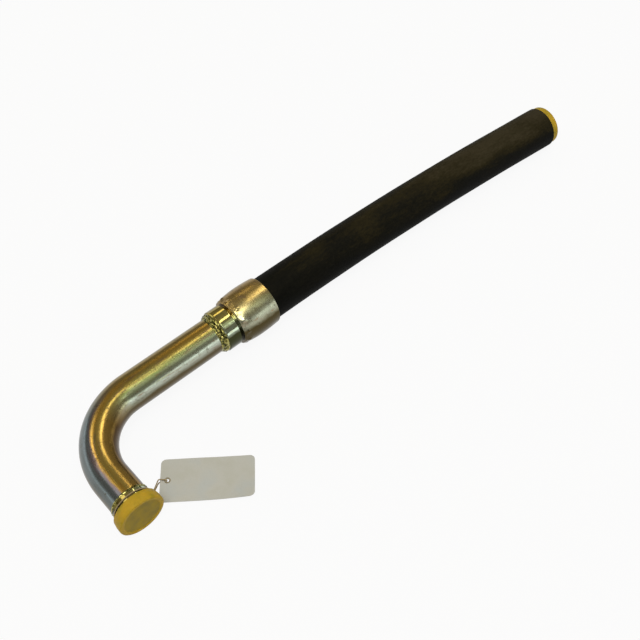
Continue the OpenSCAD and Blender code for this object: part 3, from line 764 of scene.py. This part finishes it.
def makeFerrule(f):
    # a shell whose outside is two shallow arcs that meet at the crown; where the crimping dies part,
    # twelve short ridges stand on the slope behind the lip, and the dies' flats lie between them
    def fall(length, drop):
        return (length**2 + drop**2) / (2 * drop)

    front = fall(f["crown"] - f["face"], f["crownR"] - f["lipR"])
    back = fall(f["end"] - f["crown"], f["crownR"] - f["endR"])
    s = np.arange(f["face"] + 1.0, f["end"] - 0.5, 0.6)
    arc = np.where(s < f["crown"], front, back)
    barrel = f["crownR"] - arc + np.sqrt(arc**2 - (s - f["crown"]) ** 2)
    corners = [(f["face"], f["neckR"], 0.3), (f["face"], f["lipR"] - 1.2, 0)]
    outside = [(f["face"] + 0.15, f["lipR"] - 0.75, 0), (f["face"] + 0.5, f["lipR"] - 0.3, 0)]
    outside += [(a, b, 0) for a, b in zip(s, barrel)]
    outside += [(f["end"] - 0.15, barrel[-1] - 0.1, 0), (f["end"], barrel[-1] - 0.45, 0)]
    lipBack = f["face"] + f["lip"]
    inside = [(f["end"], f["boreR"], 0.3), (lipBack, f["boreR"], 0.5), (lipBack, f["neckR"], 0.3)]
    profile = denser(rounded(corners + outside + inside), 0.7, closed=True)
    local = turned(profile, f["around"])
    a, along, radius = angleOf(local), local[..., 0], radiusOf(local)
    skin = smoothStep(radius, f["boreR"] + 0.2, f["boreR"] + 1.0)
    wave = 0.5 + 0.5 * np.cos(f["ridges"] * (a - np.pi / f["ridges"]))
    ridge = wave**5 * hump(along, f["ridgeAt"], f["ridgeLength"])
    flat = (1 - wave) ** 2 * hump(along, f["flatAt"], f["flatLength"])
    uneven = f["uneven"] * (np.sin(5 * a + along / 9) * smoothStep(along, f["face"] + 2, f["face"] + 8) - 1)
    local = withRadius(local, radius + skin * (f["ridgeHeight"] * ridge - f["flatDepth"] * flat + uneven))
    makePiece("ferrule", alongHose(local), local, "ferrule", pressedShell)


makeStem(stemSet)
makeFerrule(ferruleSet)
print("hose fitting made")

# The cap over the flange head and the plug in the hose, both moulded. The cap's face has sunk a little, and
# not evenly: saddle is a rise and fall twice round it, and threeWay three times.
capSet = dict(
    open=37.3, openR=22.925, wide=42.7, outerR=23.815, outside=49.2, inside=47.1, innerR=22.325,
    edge=1.8, dish=0.5, sink=0.12, saddle=0.072, threeWay=0.048, step=0.9, around=200,
)
plugSet = dict(
    gap=0.1, headR=22.9, head=9.0, edge=2.5, shankR=15.85, shank=22.0, lead=1.5, recess=2.0,
    step=0.9, around=200,
)


def makeCap(c):
    # a moulded cup: its line runs from the middle of the dished face round the skirt to the middle inside
    dishR = c["outerR"] - 2 * c["edge"]
    profile = rounded([
        (c["outside"] - c["dish"], 0, 0), (c["outside"] - c["dish"], dishR - c["dish"], 0.8),
        (c["outside"], dishR, 0.5), (c["outside"], c["outerR"], c["edge"]), (c["wide"], c["outerR"], 1.5),
        (c["open"], c["openR"], 0.3), (c["open"], c["innerR"], 0.3), (c["inside"], c["innerR"], 0.5),
        (c["inside"], 0, 0),
    ], 7)
    local = turned(denser(profile, c["step"]), c["around"])
    a, r = angleOf(local), radiusOf(local) / c["outerR"]
    outerFace = smoothStep(local[..., 0], c["outside"] - 1.2, c["outside"] - 0.4)
    sag = c["saddle"] * np.cos(2 * a + 0.6) * r**2 + c["threeWay"] * np.cos(3 * a) * r**3
    local[..., 0] -= outerFace * (c["sink"] + sag)
    world = alongFlange(local)
    makePiece("flangeCap", world, local, "flange_cap", polyethylene, "flange_cap", loop=False)


def alongTail(local):
    # stations run along the hose's straight end, from the cut face outwards
    x = cutEnd[0] + local[..., 0] * np.cos(bow) - local[..., 2] * np.sin(bow)
    y = cutEnd[1] - local[..., 0] * np.sin(bow) - local[..., 2] * np.cos(bow)
    return inPlane(x, y, local[..., 1])


def makePlug(p):
    # a moulded plug: its line runs from the middle of the recess over the head and down the shank
    top = p["gap"] + p["head"]
    recessR = p["headR"] - 3 * p["edge"]
    profile = rounded([
        (top - p["recess"], 0, 0), (top - p["recess"], recessR - 0.6, 0.8), (top, recessR, 0.6),
        (top, p["headR"], p["edge"]), (p["gap"], p["headR"], 0.5), (p["gap"], p["shankR"], 0.2),
        (2 * p["lead"] - p["shank"], p["shankR"], 0.5), (-p["shank"], p["shankR"] - p["lead"], 0.6),
        (-p["shank"], 0, 0),
    ], 7)
    local = turned(denser(profile, p["step"]), p["around"])
    world = alongTail(local)
    makePiece("hosePlug", world, local, "hose_plug", polyethylene, "hose_plug", loop=False)


makeCap(capSet)
makePlug(plugSet)
print("cap and plug made")

# The tag's card, eyelet and string. Its far corner curls from curlFrom on, by curl at curlSpan past that;
# wave and sway are waves along the card and across it, each with its own length.
tagSet = dict(
    length=90.0, width=46.0, trim=0.05, corner=5.0, inset=7.0, thick=0.6, hole=2.05, turn=-39.0, tilt=1.139,
    curl=3.0, curlFrom=(52, -2), curlSpan=(50, 21 / 0.62), wave=0.35, waveLength=14, sway=0.25, swayLength=9,
    rise=0.3, rays=60, step=1.2,
)
eyeletSet = dict(bore=1.7, wall=0.25, flange=1.2, fillet=0.11)
tieSet = dict(
    station=33.5, loopR=19.8, thread=0.65, ply=0.3, lay=3.4, knotR=20.85, knotAngle=40.0, knotScale=0.38,
    clear=0.15, pastEdge=1.3, apart=0.6, sag=(0.8, 0.6),
)
eyeletMiddle = np.mean([np.array(corner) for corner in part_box("tag_eyelet")], axis=0)
turn, tilt = np.radians([tagSet["turn"], tagSet["tilt"]])
tagAlong = np.array([np.cos(tilt) * np.cos(turn), np.cos(tilt) * np.sin(turn), -np.sin(tilt)])
tagAcross = np.array([-np.sin(turn), np.cos(turn), 0.0])
tagUp = np.cross(tagAlong, tagAcross)


def onTag(x, y, z):
    # a point of the tag, in millimetres from the middle of its eyelet
    x, y, z = (np.asarray(v, float)[..., None] for v in (x, y, z))
    return eyeletMiddle + mm * (x * tagAlong + y * tagAcross + z * tagUp)


def makeCard(t):
    # rays from the hole to a rounded outline, on both faces, laid on a height that is a curl and two waves
    middle = t["length"] / 2 - t["inset"]
    halfLong = t["length"] / 2 - t["trim"]
    halfWide = t["width"] / 2 - t["trim"]
    quarter = np.linspace(0, np.pi / 2, 7)
    corners = []
    for k, (sideX, sideY) in enumerate([(1, 1), (-1, 1), (-1, -1), (1, -1)]):
        a = quarter + k * np.pi / 2
        centre = np.array([middle + sideX * (halfLong - t["corner"]), sideY * (halfWide - t["corner"])])
        corners.append(centre + t["corner"] * np.stack([np.cos(a), np.sin(a)], axis=1))
    outline = denser(np.concatenate(corners), t["step"], closed=True)
    reach = np.linalg.norm(outline, axis=1, keepdims=True)
    ray = outline / reach
    share = np.linspace(0, 1, t["rays"])[:, None, None]
    flat = ray * (t["hole"] + (reach - t["hole"]) * share)
    rim, bevel = flat[-1:], flat[-1:] - 0.1 * ray
    flat = np.concatenate([flat[:-1], bevel, rim, rim, bevel, flat[-2::-1]])
    half = t["thick"] / 2
    lower, upper = np.full(t["rays"], -half), np.full(t["rays"], half)
    z = np.concatenate([lower, [-0.8 * half, 0.8 * half], upper])[:, None]
    x, y = flat[..., 0], flat[..., 1]
    (startX, startY), (spanX, spanY) = t["curlFrom"], t["curlSpan"]
    curl = t["curl"] * np.clip((x - startX) / spanX - (y - startY) / spanY, 0, None) ** 2
    wave = t["wave"] * np.sin(x / t["waveLength"] + 0.8) * smoothStep(x, 6, 40)
    sway = t["sway"] * np.cos(y / t["swayLength"]) * smoothStep(x, 20, 80)
    world = onTag(x, y, z + curl + wave + sway + t["rise"] * smoothStep(x, 20, 60))
    local = np.stack([x, y, z + 0 * x], axis=-1)
    makePiece("tagCard", world, local, "tag_card", card, "tag")


def makeEyelet(e):
    # a rolled ring that holds the card between its two flanges
    top = tagSet["thick"] / 2 + e["wall"]
    under = top - e["wall"]
    tube = e["bore"] + e["wall"]
    wide = tube + e["flange"]
    profile = rounded([
        (top, e["bore"], e["fillet"]), (top, wide, e["fillet"]), (under, wide, 0.05), (under, tube, 0),
        (-under, tube, 0), (-under, wide, 0.05), (-top, wide, e["fillet"]), (-top, e["bore"], e["fillet"]),
    ])
    local = turned(denser(profile, 0.25, closed=True), 72)
    world = onTag(local[..., 1], local[..., 2], local[..., 0])
    makePiece("tagEyelet", world, local, "tag_eyelet", eyeletBrass, "tag")


def twisted(path, closed=False):
    # two plies laid round each other: a section with two lobes, turned along the path; path is in millimetres
    ahead = np.roll(path, -1, axis=0) - np.roll(path, 1, axis=0) if closed else np.gradient(path, axis=0)
    ahead /= np.linalg.norm(ahead, axis=1, keepdims=True)
    sideways = [unit(np.cross(ahead[0], [0.1, 0.2, 1]))]
    for direction in ahead[1:]:
        sideways.append(unit(sideways[-1] - direction * (sideways[-1] @ direction)))
    sideways = np.array(sideways)
    over = np.cross(ahead, sideways)
    steps = np.linalg.norm(np.diff(path, axis=0), axis=1)
    station = np.concatenate([[0], np.cumsum(steps)])
    whole = station[-1] + (np.linalg.norm(path[0] - path[-1]) if closed else 0)
    lays = np.round(whole / tieSet["lay"]) / whole
    a = np.linspace(0, 2 * np.pi, 16, endpoint=False)
    lobes = np.abs(np.cos(a - 2 * np.pi * lays * station[:, None]))
    r = tieSet["thread"] * (1 - tieSet["ply"] * (1 - lobes))
    outward = np.cos(a)[:, None] * sideways[:, None] + np.sin(a)[:, None] * over[:, None]
    world = path[:, None] + r[..., None] * outward
    local = np.stack([station[:, None] + 0 * a, r * np.cos(a), r * np.sin(a)], axis=-1)
    if not closed:
        # a pole at each end
        first, last = [path[k] + 0 * world[:1] for k in (0, -1)]
        world = np.concatenate([first, world, last])
        local = np.concatenate([local[:1], local, local[-1:]])
    return world * mm, local


def smoothPath(points, count):
    # a line through the points whose corners are rounded by repeated averaging, with its ends kept
    points = np.asarray(points, float)
    run = np.concatenate([[0], np.cumsum(np.linalg.norm(np.diff(points, axis=0), axis=1))])
    line = np.stack([np.interp(np.linspace(0, run[-1], count), run, points[:, k]) for k in range(3)], axis=1)
    for _ in range(12):
        line[1:-1] = (line[:-2] + 2 * line[1:-1] + line[2:]) / 4
    return line


def makeTie(t):
    # a loop round the neck, a knot on it, and one string that goes from the knot through the eyelet and back
    a = np.linspace(0, 2 * np.pi, 400, endpoint=False)
    stations = t["station"] + 0.12 * np.sin(2 * a)
    ring = np.stack([stations, t["loopR"] * np.cos(a), t["loopR"] * np.sin(a)], axis=-1)
    world, local = twisted(alongFlange(ring) / mm, closed=True)
    makePiece("tagLoop", world, local, "tag_tie", twine, "tag")
    low = np.radians(t["knotAngle"])
    knot = np.array([t["station"], -t["knotR"] * np.sin(low), t["knotR"] * np.cos(low)])
    knot = alongFlange(knot) / mm
    # an overhand knot pulled small: x = sin w + 2 sin 2w, y = cos w - 2 cos 2w, z = -1.1 sin 3w
    w = np.linspace(0, 2 * np.pi, 160, endpoint=False)
    x, y = np.sin(w) + 2 * np.sin(2 * w), np.cos(w) - 2 * np.cos(2 * w)
    bend = np.stack([x, y, -1.1 * np.sin(3 * w)], axis=-1)
    world, local = twisted(knot + t["knotScale"] * bend, closed=True)
    knotPiece = makePiece("tagKnot", world, local, "tag_tie", twine, "tag")
    # over the card to the eyelet, through it, and back underneath; the string sags between knot and card
    above = tagSet["thick"] / 2 + eyeletSet["wall"] + t["thread"] + t["clear"]
    edge = -tagSet["inset"] - t["pastEdge"]
    route = [
        (edge, 0.8, above + 0.5), (-2.5, 0.4, above), (-0.4, 0, above - 0.2), (-0.2, 0, 0),
        (-0.4, 0, 0.2 - above), (-2.5, -0.4, -above), (edge, -0.8, -above),
    ]
    onCard = [onTag(*point) / mm for point in route]
    start, end = knot + [0, 0, t["apart"]], knot - [0, 0, t["apart"]]
    sagOut = (start + onCard[0]) / 2 - [0, 0, t["sag"][0]]
    sagBack = (end + onCard[-1]) / 2 - [0, 0, t["sag"][1]]
    path = smoothPath([start, sagOut, *onCard, sagBack, end], 150)
    world, local = twisted(path)
    strands = makePiece("tagStrands", world, local, "tag_tie", twine, "tag", loop=False)


makeCard(tagSet)
makeEyelet(eyeletSet)
makeTie(tieSet)
print("tag and string made")

# The layers of the hose and the O-ring keep the shapes that they have, and get a finish
layerFinishes = {
    "face_seal": sealRubber, "hose_liner": linerRubber, "insulation": linerRubber, "spiral_ply": wireSteel,
}
for name, node in frame["nodes"].items():
    for start, finish in layerFinishes.items():
        if name.startswith(start):
            node.data.materials.clear()
            node.data.materials.append(finish)

# The floor's side is in metres, and it lies below the part by a hair. The skirting's top is the sine of the
# angle above the horizon where the skirting ends and where the wall is plain.
floorSet = dict(side=60.0, below=1e-4, paper="#cccccc", glow=0.92)
roomSet = dict(wall="#8b887f", skirting="#f6f6f6", skirtingTop=(0.06, 0.12))
# A lamp runs between two directions, each in degrees round the elbow's plane and above it, and its width is
# in degrees too. Lamps stand lampDistance metres away, times away where that is given; tints are linear.
lampDistance = 5.0
lampSet = {
    "ceilingStrip": dict(ends=((0, 77), (36, 38)), wide=7, radiance=3.5, tint=(1.0, 0.95, 0.78)),
    "stripMiddle": dict(ends=((12, 61), (24, 53)), wide=6, radiance=5.0, away=0.97, tint=(1.0, 0.96, 0.82)),
    "backLamp": dict(ends=((104, 39), (108, 53)), wide=9, radiance=3.8, tint=(1.0, 0.96, 0.82)),
    "backShelf": dict(ends=((114, 56), (142, 44)), wide=11, radiance=1.4, away=1.03, tint=(1.0, 0.99, 0.94)),
    "sideLamp": dict(ends=((67, 30), (67, 40)), wide=7, radiance=1.8, tint=(1.0, 0.9, 0.65)),
    "frontLamp": dict(ends=((-58, 46), (-53, 57)), wide=5, radiance=1.7, tint=(0.9, 1.0, 0.88)),
    "frontGlow": dict(ends=((-62, 44), (-42, 68)), wide=20, radiance=0.42, away=1.05, tint=(0.94, 1.0, 0.9)),
    "longWindow": dict(ends=((-80, 12), (-45, 17)), wide=12, radiance=1.9, tint=(0.9, 0.98, 1.0)),
    "farWindow": dict(ends=((108, 6), (168, 6)), wide=10, radiance=1.1, tint=(0.85, 0.95, 1.0)),
    "softPanel": dict(ends=((-130, 57), (-130, 87)), wide=30, radiance=6.7, tint=(1.0, 0.99, 0.97)),
}


def makeFloor(f):
    # white paper: seen directly it is nearly even white, and it still takes the object's shadow
    material = bpy.data.materials.new("whitePaper")
    material.use_nodes = True
    tree = material.node_tree
    tree.nodes.clear()
    rays = addNode(tree, "LightPath").node.outputs
    seen = addNode(tree, "Math", (rays["Is Camera Ray"], rays["Is Glossy Ray"]), operation="ADD")
    seen = addNode(tree, "Math", (seen, rays["Is Transmission Ray"]), operation="ADD", use_clamp=True)
    share = addNode(tree, "Math", (seen, f["glow"]), operation="MULTIPLY")
    matt = addNode(tree, "BsdfDiffuse", {"Color": f["paper"]})
    glow = addNode(tree, "Emission", {"Color": "#ffffff", "Strength": 1.0})
    addNode(tree, "OutputMaterial", {"Surface": addNode(tree, "MixShader", (share, matt, glow))})
    half = f["side"] / 2
    mesh = bpy.data.meshes.new("floor")
    corners = [(x * half, y * half, -f["below"]) for x, y in ((-1, -1), (1, -1), (1, 1), (-1, 1))]
    mesh.from_pydata(corners, [], [(0, 1, 2, 3)])
    mesh.materials.append(material)
    floor = bpy.data.objects.new("floor", mesh)
    bpy.context.scene.collection.objects.link(floor)


def makeLamps(lamps):
    # rectangles that face the part; a lamp's power is its radiance times pi times its area
    aim = np.mean([np.array(corner) for corner in cadBox], axis=0)
    for name, lamp in lamps.items():
        lon, lat = np.radians(np.array(lamp["ends"], float)).T
        ends = inPlane(np.cos(lat) * np.cos(lon), np.cos(lat) * np.sin(lon), np.sin(lat))
        ends = np.array([unit(end - tubeJoint) for end in ends])
        toLamp, run = unit(ends[0] + ends[1]), unit(ends[1] - ends[0])
        away = lampDistance * lamp.get("away", 1.0)
        data = bpy.data.lights.new(name, "AREA")
        data.shape = "RECTANGLE"
        data.size = away * np.linalg.norm(ends[1] - ends[0]) / (ends[0] @ toLamp)
        data.size_y = 2 * away * np.tan(np.radians(lamp["wide"] / 2))
        data.energy = lamp["radiance"] * np.pi * data.size * data.size_y
        data.color = lamp["tint"]
        light = bpy.data.objects.new(name, data)
        matrix = np.eye(4)
        matrix[:3, :3] = np.stack([run, np.cross(toLamp, run), toLamp], axis=1)
        matrix[:3, 3] = aim + toLamp * away
        light.matrix_world = Matrix(matrix.tolist())
        bpy.context.scene.collection.objects.link(light)


def makeWorld(w):
    # a room of one even colour, with a pale skirting just above the floor's far edge
    world = bpy.data.worlds.new("room")
    world.use_nodes = True
    tree = world.node_tree
    toward = addNode(tree, "TexCoord", out="Generated")
    height = addNode(tree, "SeparateXYZ", (toward,), out="Z")
    wall = addNode(tree, "MapRange", (height, *w["skirtingTop"]))
    wall = laidOver(tree, w["skirting"], [(wall, w["wall"])])
    tree.links.new(wall, tree.nodes["Background"].inputs["Color"])
    bpy.context.scene.world = world


makeFloor(floorSet)
makeLamps(lampSet)
makeWorld(roomSet)
bpy.context.scene.view_settings.view_transform = "Standard"
print("floor and light made")
